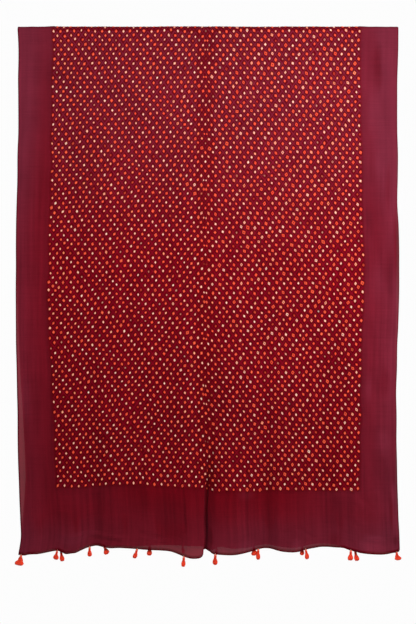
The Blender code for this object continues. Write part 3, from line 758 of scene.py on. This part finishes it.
def paintDots(mesh, grid, faces, dots):
    # each face knows its dot: where it is on the flat cloth, its shape and its tone
    faceColumn, faceRow = [grid[name].reshape(-1)[faces].mean(axis=1) for name in ("column", "row")]
    column, row = cellOf(faceColumn, faceRow)
    inside = (np.abs(column) <= tying["columns"]) & (row <= tying["frontRows"]) & (row >= -tying["backRows"])
    along = (row - 1) * tying["rowStep"] + tying["firstRow"]
    centre = readCurve(fieldCentre, along)
    edge = np.where(column < 0, readCurve(fieldLeft, along), readCurve(fieldRight, along))
    across = centre + (edge - centre) * np.abs(column) / tying["columns"] + lookUp(dots, "shift", column, row)
    along = along + lookUp(dots, "lower", column, row)
    paired = dots["pair"][np.clip(row + tying["backRows"], 0, len(dots["pair"]) - 1).astype(int)]
    pair = (column == 0) & paired
    across = across + np.where(pair, dotMix["pairApart"] * np.sign(faceColumn), 0.0)
    place = np.stack([across + cloth["width"] / 2, along + cloth["halfLength"], 0 * along], axis=1)
    shape, tone = [np.stack([lookUp(dots, name, column, row) for name in names], axis=1)
                   for names in (("size", "slim", "tilt"), ("tone", "hollow", "strength"))]
    shape[:, 0] *= np.where(pair, dotMix["pairSize"], 1.0)
    shape[:, 0] *= 1 - dotMix["lowSmaller"] * smoothStep(0.55, 1.0, np.abs(along))
    tone[:, 2] *= inside
    for name, values in (("dotPlace", place), ("dotShape", shape), ("dotTone", tone)):
        attribute = mesh.attributes.new(name, "FLOAT_VECTOR", "FACE")
        attribute.data.foreach_set("vector", values.astype("f").ravel())


def paintDye(mesh, grid):
    # each point knows how far it is in the tied field, how deep its dye is, how much painted light and sheen
    # make it paler and hazier, with some faded dye, and how far it is on a crease and in a hem
    column, row = grid["column"], grid["row"]
    across, along = grid["flat"][..., 0], grid["flat"][..., 1]
    far = np.abs(along)
    marks = {"tied": insideField(column, row, (1.8, 0.2), (1.6, 0.2)),
             "within": insideField(column, row, (0.8, -0.2), (0.8, -0.2))}

    # the end borders took more dye next to the field, and so did the left border a little
    deepColumns = (1, (dyeAndPaintedLight["deepReach"] - 1) * tying["columns"])
    ends = insideField(column, row, deepColumns, (dyeAndPaintedLight["deepRows"], 0))
    inner = smoothStep(tying["columns"] + dyeAndPaintedLight["innerColumns"], tying["columns"] + 1, np.abs(column))
    leftSide = dyeAndPaintedLight["deepLeft"] * inner * smoothStep(*dyeAndPaintedLight["deepLeftFrom"], far) * (column < 0)
    marks["deep"] = np.maximum(ends, leftSide)

    # towards the fold it is painted paler and hazier, as light and sheen fall there from above; in patches by
    # the hems and the sides the light and shade of soft folds is painted, with a little faded dye in some
    patch = np.zeros_like(far)
    for placeAcross, placeAlong, halfWide, halfHigh, amount in foldShadeAndFadePatches:
        away = np.hypot((across - placeAcross) / halfWide, (along - placeAlong) / halfHigh)
        patch += amount * smoothStep(1.0, 0.2, away)
    marks["top"] = smoothStep(*dyeAndPaintedLight["topFrom"], far)
    rightTop = dyeAndPaintedLight["rightDarker"] * smoothStep(0.0, 0.40, across) * smoothStep(0.50, 0.15, far)
    pale = smoothStep(*dyeAndPaintedLight["paleFrom"], far) * (1 - marks["tied"]) * (1 - rightTop)
    marks["pale"] = pale + patch - dyeAndPaintedLight["lowDarker"] * smoothStep(0.55, 1.0, far) * marks["tied"]
    sheenAndFade = marks["top"] * (1 - dyeAndPaintedLight["innerLess"] * inner)
    for share, start, full in dyeAndPaintedLight["paintedSideSheen"]:
        sheenAndFade = sheenAndFade + share * smoothStep(start, full, across)
    sheenAndFade = sheenAndFade + readCurve(hemFades, across) * smoothStep(*dyeAndPaintedLight["hemFadeFrom"], far)
    marks["sheenAndFade"] = sheenAndFade + dyeAndPaintedLight["patchShadeAndFade"] * patch

    first, second = awayFromOdd(column + row), awayFromOdd(column - row)
    marks["crest"] = (1 - np.minimum(first, second)) ** 2
    sideHem = dyeAndPaintedLight["sideHemShare"] * smoothStep(*dyeAndPaintedLight["sideHem"], cloth["width"] / 2 - np.abs(across))
    endHem = smoothStep(*dyeAndPaintedLight["endHem"], cloth["halfLength"] - far)
    marks["hem"] = np.maximum(sideHem, endHem)
    for name in dyeAndPaintedLightMarks:
        mesh.attributes.new(name, "FLOAT", "POINT").data.foreach_set("value", marks[name].astype("f").ravel())


def makeClothPiece():
    rng = np.random.default_rng(dotMix["seed"])
    dots = makeDots(rng)
    grid = hangSheet(rng, dots)
    grid = rollHems(grid, 1, "sideways", cloth["sideBead"], "column", tying["columns"] + 20.0)
    grid = rollHems(grid, 0, "lengthways", cloth["endBead"], "row", tying["frontRows"] + 30.0)
    faces = cutTriangles(grid["column"], grid["row"])
    mesh = bpy.data.meshes.new("bandhani_sheet")
    mesh.from_pydata(grid["points"].reshape(-1, 3), [], faces)
    mesh.shade_smooth()
    mapSheet(mesh, grid, faces)
    paintDots(mesh, grid, faces, dots)
    paintDye(mesh, grid)
    piece = bpy.data.objects.new("bandhani_sheet", mesh)
    bpy.context.scene.collection.objects.link(piece)
    turns = len(cloth["beadTurns"])
    hems = {"front": grid["points"][-turns - 1, turns:-turns], "back": grid["points"][turns, turns:-turns]}
    return piece, hems


yarnFinish = {
    "yarn": "#ff4f30",
    "yarnDeep": "#ff3d20",     # between the plies
    "fuzz": "#ffa47c",
    "twist": 0.0011,           # length of one turn of the yarn's ply
    "clumpScale": 420.0,       # waves in a metre
    "throughShare": 0.06,      # of the light that goes on through the yarn
}
threadFinish = {
    "thread": "#f6e4cc",
    "twistScale": 700.0,
}


def makeYarn():
    # Cotton embroidery yarn, dyed orange red and cut: matt, with soft deeper lines between its plies.
    look = readFinish(yarnFinish)
    material, tree = newMaterial("cut cotton yarn")
    place = addNode(tree, "TexCoord").outputs["Object"]
    plies = addNode(tree, "TexWave", {"Vector": place, "Scale": 0.32 / look["twist"], "Distortion": 5.0,
                    "Detail": 2.0, "Detail Scale": 2.0}, bands_direction="DIAGONAL").outputs["Fac"]
    clumps = addNode(tree, "TexNoise", {"Vector": place, "Scale": look["clumpScale"], "Detail": 3.0})
    both = addNode(tree, "Math", {0: plies, 1: clumps}, operation="MULTIPLY")
    deep = addNode(tree, "MapRange", {"Value": both, "From Min": 0.05, "From Max": 0.5})
    colour = addNode(tree, "Mix", {"Factor": deep, "A": look["yarnDeep"], "B": look["yarn"]},
                     data_type="RGBA")
    bump = addNode(tree, "Bump", {"Strength": 0.6, "Distance": 0.0002, "Height": plies})
    surface = addNode(tree, "BsdfPrincipled", {
        "Base Color": colour, "Roughness": 0.80, "Specular IOR Level": 0.25, "Normal": bump,
        "Sheen Weight": 0.35, "Sheen Roughness": 0.4, "Sheen Tint": look["fuzz"]})
    through = addNode(tree, "BsdfTranslucent", {"Color": look["yarn"], "Normal": bump})
    body = addNode(tree, "MixShader", {0: look["throughShare"], 1: surface, 2: through})
    addNode(tree, "OutputMaterial", {0: body})
    return material


def makeThread():
    # Waxed cotton sewing thread, undyed: pale and a little shiny.
    look = readFinish(threadFinish)
    material, tree = newMaterial("undyed sewing thread")
    place = addNode(tree, "TexCoord").outputs["Object"]
    twist = addNode(tree, "TexWave", {"Vector": place, "Scale": look["twistScale"], "Distortion": 2.0},
                    bands_direction="DIAGONAL").outputs["Fac"]
    shade = addNode(tree, "MapRange", {"Value": twist, "To Min": 0.75, "To Max": 1.0})
    colour = addNode(tree, "VectorMath", {0: look["thread"][:3], "Scale": shade}, operation="SCALE")
    bump = addNode(tree, "Bump", {"Strength": 0.5, "Distance": 0.0001, "Height": twist})
    surface = addNode(tree, "BsdfPrincipled", {"Base Color": colour, "Roughness": 0.55, "Normal": bump})
    addNode(tree, "OutputMaterial", {0: surface})
    return material


tassel = {
    "length": 0.0225,
    "seed": 11,
    "shapes": 4,             # different tassels, which the twenty share
    "strands": 44,
    "strandSides": 5,
    "strandRadius": 0.00076,
    "squeezed": 0.42,        # how much of that is left where the strands are bound
    "cutEnd": 0.7,           # and at the cut end
    "uneven": 0.22,          # how much shorter the outer strands may be
    "swings": 0.0008,        # how far the cut ends hang to one side
    # drops below the tie, and half the width and half the depth of the whole bunch there
    "levels": (-0.0012, 0.0028, 0.0072, 0.0105, 0.0145, 0.0190, 0.0225),
    "halfWide": (0.0023, 0.0025, 0.0027, 0.0036, 0.0047, 0.0050, 0.0042),
    "halfDeep": (0.0016, 0.0018, 0.0020, 0.0026, 0.0033, 0.0036, 0.0030),
    "boundTo": 0.0072,
    "wraps": 4,              # turns of yarn that bind it
    "wrapTop": 0.0036,       # drop of the first one
    "wrapStep": 0.00062,
    "wrapTilt": 9,           # degrees either way
    "wrapRing": (0.00272, 0.00034, 12, 5),        # a ring's two radii, then its faces round each
    "knotFaces": (12, 6),
    "knots": ((0.00180, 0.00036, -0.0012, 20), (0.00170, 0.00034, -0.0002, -25)),   # radii, height and tilt
    "loopRing": (0.0021, 0.00030, 18, 6),         # the loop through the hem
    "loopHeight": 0.0010,
    "tieGap": 0.0003,        # from the hem's roll down to the tie
}
goldenAngle = 2.39996        # radians, which spreads the strands evenly

# tassels: place of the tie across the room, lean to the right and towards the back as a share of the length,
# length, and how much wider than most its cut ends have spread
frontTassels = (
    (-0.4435, -0.17, -0.05, 0.0242, 2.00), (-0.3577, -0.24, 0.04, 0.0210, 1.40),
    (-0.2811, -0.02, -0.06, 0.0220, 1.05), (-0.1684, -0.27, 0.02, 0.0225, 1.00),
    (-0.0573, -0.03, -0.03, 0.0235, 0.90), (0.0176, -0.08, 0.05, 0.0245, 1.05),
    (0.1192, -0.04, -0.02, 0.0240, 0.90), (0.2320, 0.22, 0.03, 0.0225, 1.00),
    (0.3383, -0.02, -0.05, 0.0230, 1.25), (0.4480, 0.14, 0.02, 0.0190, 1.90),
)
backTassels = (
    (-0.4435, -0.20, 0.06, 0.0210, 1.30), (-0.3495, 0.15, -0.32, 0.0232, 1.05),
    (-0.2480, 0.50, -0.30, 0.0225, 1.35), (-0.1390, 0.02, -0.28, 0.0240, 1.15),
    (-0.0600, 0.05, 0.16, 0.0185, 0.80), (0.0200, -0.05, 0.20, 0.0170, 0.70),
    (0.1080, 0.18, -0.26, 0.0220, 1.50), (0.2250, -0.04, -0.28, 0.0210, 1.10),
    (0.3500, 0.16, -0.32, 0.0235, 1.10), (0.4480, 0.12, 0.04, 0.0170, 1.30),
)


def startEditing(piece):
    bpy.ops.object.select_all(action="DESELECT")
    piece.select_set(True)
    bpy.context.view_layer.objects.active = piece
    bpy.ops.object.mode_set(mode="EDIT")
    bpy.ops.mesh.select_all(action="DESELECT")


def modelStrand():
    # one straight strand: a small disc, drawn down level by level and pinched at the cut end
    levels = tassel["levels"]
    bpy.ops.mesh.primitive_circle_add(vertices=tassel["strandSides"], radius=tassel["strandRadius"],
                                      fill_type="NGON", location=(0.0, 0.0, -levels[0]))
    strand = bpy.context.object
    startEditing(strand)
    bpy.ops.mesh.select_all(action="SELECT")
    for above, below in zip(levels, levels[1:]):
        bpy.ops.mesh.extrude_region_move(TRANSFORM_OT_translate={"value": (0.0, 0.0, above - below)})
    bpy.ops.transform.resize(value=(tassel["cutEnd"], tassel["cutEnd"], 1.0))
    bpy.ops.mesh.select_all(action="SELECT")
    bpy.ops.mesh.normals_make_consistent(inside=False)
    bpy.ops.object.mode_set(mode="OBJECT")
    bpy.ops.object.transform_apply(location=True, rotation=True, scale=True)
    return strand


def loosened(down):          # 0 where a strand is bound, 1 near its cut end
    return smoothStep(tassel["boundTo"], tassel["levels"][-2], down)


def placeStrand(strand, number, rng, sweep, yarn):
    copy = strand.copy()
    copy.data = strand.data.copy()
    bpy.context.scene.collection.objects.link(copy)
    turn = number * goldenAngle + rng.uniform(-0.2, 0.2)
    out = math.sqrt((number + 0.5) / tassel["strands"])
    shorter = 1.0 - tassel["uneven"] * out**2 * rng.uniform(0.3, 1.3)
    for vertex in copy.data.vertices:
        down = -vertex.co.z
        loose = loosened(down)
        thick = tassel["squeezed"] + (1.0 - tassel["squeezed"]) * loose
        middleX = out * math.cos(turn) * np.interp(down, tassel["levels"], tassel["halfWide"]) + sweep * loose
        middleY = out * math.sin(turn) * np.interp(down, tassel["levels"], tassel["halfDeep"])
        vertex.co.x = vertex.co.x * thick + middleX
        vertex.co.y = vertex.co.y * thick + middleY
        vertex.co.z = -(min(down, tassel["boundTo"]) + max(down - tassel["boundTo"], 0.0) * shorter)
    copy.data.materials.append(yarn)
    return copy


def addRing(major, minor, majorFaces, minorFaces, height, tilts, material):
    bpy.ops.mesh.primitive_torus_add(
        major_radius=major, minor_radius=minor, major_segments=majorFaces, minor_segments=minorFaces,
        location=(0.0, 0.0, height), rotation=[math.radians(degrees) for degrees in (*tilts, 0.0)])
    ring = bpy.context.object
    ring.data.materials.append(material)
    return ring


def modelTassel(number, strand, yarn, thread):
    # a bunch of strands bound near the top, its wraps, the knot above them and the loop through the hem
    rng = np.random.default_rng(tassel["seed"] + number)
    sweep = rng.uniform(-tassel["swings"], tassel["swings"])
    parts = [placeStrand(strand, count, rng, sweep, yarn) for count in range(tassel["strands"])]
    for wrap in range(tassel["wraps"]):
        height = -tassel["wrapTop"] - tassel["wrapStep"] * wrap
        tilts = rng.uniform(-tassel["wrapTilt"], tassel["wrapTilt"], 2)
        parts.append(addRing(*tassel["wrapRing"], height, tilts, yarn))
    for major, minor, height, tilt in tassel["knots"]:
        parts.append(addRing(major, minor, *tassel["knotFaces"], height, (tilt, -tilt), thread))
    parts.append(addRing(*tassel["loopRing"], tassel["loopHeight"], (0, 90), thread))
    bpy.ops.object.select_all(action="DESELECT")
    for part in parts:
        part.select_set(True)
    bpy.context.view_layer.objects.active = parts[0]
    bpy.ops.object.join()
    whole = bpy.context.object
    bpy.ops.object.transform_apply(location=True, rotation=True, scale=True)
    bpy.ops.object.shade_smooth()
    return whole


def hemPlace(hem, x):        # the point of a hem below which a tassel at x is tied
    near = min(max(np.searchsorted(hem[:, 0], x), 1), len(hem) - 1)
    before, after = hem[near - 1], hem[near]
    share = (x - before[0]) / (after[0] - before[0])
    return Vector(before + (after - before) * min(max(share, 0.0), 1.0))


def tieTassel(name, shape, flip, hem, x, leanRight, leanBack, length, spread):
    piece = shape.copy()
    piece.data = shape.data.copy()
    piece.name = piece.data.name = name
    bpy.context.scene.collection.objects.link(piece)
    for vertex in piece.data.vertices:
        vertex.co.x *= 1.0 + (spread - 1.0) * loosened(-vertex.co.z)
    lean = Vector((leanRight, leanBack, -1.0)).normalized()
    turn = Vector((0.0, 0.0, -1.0)).rotation_difference(lean).to_matrix().to_4x4()
    stretch = length / tassel["length"]
    grow = Matrix.Diagonal((-stretch if flip else stretch, stretch, stretch, 1.0))
    tie = hemPlace(hem, x) - Vector((0.0, 0.0, cloth["endBead"] + tassel["tieGap"]))
    piece.data.transform(Matrix.Translation(tie) @ turn @ grow)
    if flip:
        piece.data.flip_normals()
    return piece


def makeTassels(hems, yarn, thread):
    strand = modelStrand()
    shapes = [modelTassel(number, strand, yarn, thread) for number in range(tassel["shapes"])]
    pieces = []
    for half, rows in (("front", frontTassels), ("back", backTassels)):
        for number, row in enumerate(rows, 1):
            shape = shapes[(number * 3 + (half == "back")) % len(shapes)]
            flip = number % 2 == 1
            piece = tieTassel(f"yarn_tassel_{half}_{number:02d}", shape, flip, hems[half], *row)
            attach(piece, "root")
            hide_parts(f"tassel_{half}_{number:02d}")
            pieces.append(piece)
    for left in [strand, *shapes]:
        bpy.data.objects.remove(left, do_unlink=True)
    return pieces


studio = {
    "white": 0.98,             # what the camera sees behind the cloth
    "fill": 0.20,              # how strongly that white lights the cloth
    "floor": "#ece9e6",
    "floorRoughness": 0.8,
    "floorPlace": (0.0, -0.3, -2.05),
    "floorSize": (5.0, 3.6, 1.0),
    # soft lamps: place, watts and size; the first stands in front, the second on the right, the third behind
    "lamps": {
        "key": ((0.36, -1.45, 0.22), 25.2, 1.2),
        "near": ((1.05, -1.05, -0.40), 8.6, 0.9),
        "behind": ((-0.70, 2.20, 0.10), 92.0, 1.8),
    },
}


def makeStudio():
    scene = bpy.context.scene
    scene.view_settings.view_transform = "Standard"
    scene.world = bpy.data.worlds.new("white studio")
    scene.world.use_nodes = True
    tree = scene.world.node_tree
    tree.nodes.clear()
    seen = addNode(tree, "LightPath").outputs["Is Camera Ray"]
    fill, white = [addNode(tree, "Background", {"Color": (1.0, 1.0, 1.0, 1.0), "Strength": studio[name]})
                   for name in ("fill", "white")]
    both = addNode(tree, "MixShader", {0: seen, 1: fill, 2: white})
    addNode(tree, "OutputWorld", {0: both})

    for name, (place, watts, size) in studio["lamps"].items():
        light = bpy.data.lights.new(name, "AREA")
        light.energy = watts
        light.size = size
        lamp = bpy.data.objects.new(name, light)
        lamp.location = place
        aim = Vector((0.0, 0.0, view["middleHeight"])) - lamp.location
        lamp.rotation_euler = aim.to_track_quat("-Z", "Y").to_euler()
        scene.collection.objects.link(lamp)

    bpy.ops.mesh.primitive_plane_add(size=1.0, location=studio["floorPlace"])
    floor = bpy.context.object
    floor.name = "floor"
    floor.scale = studio["floorSize"]
    material, tree = newMaterial("pale floor")
    paint = addNode(tree, "BsdfPrincipled", {
        "Base Color": linear(studio["floor"]), "Roughness": studio["floorRoughness"]})
    addNode(tree, "OutputMaterial", {0: paint})
    floor.data.materials.append(material)


setCamera()
print("camera set")

sheet, hemLines = makeClothPiece()
sheet.data.materials.append(makeCotton())
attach(sheet, "root")
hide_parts("cloth")
print("cloth made:", len(sheet.data.polygons), "triangles")

tassels = makeTassels(hemLines, makeYarn(), makeThread())
print("tassels made:", len(tassels))

makeStudio()
print("studio set")
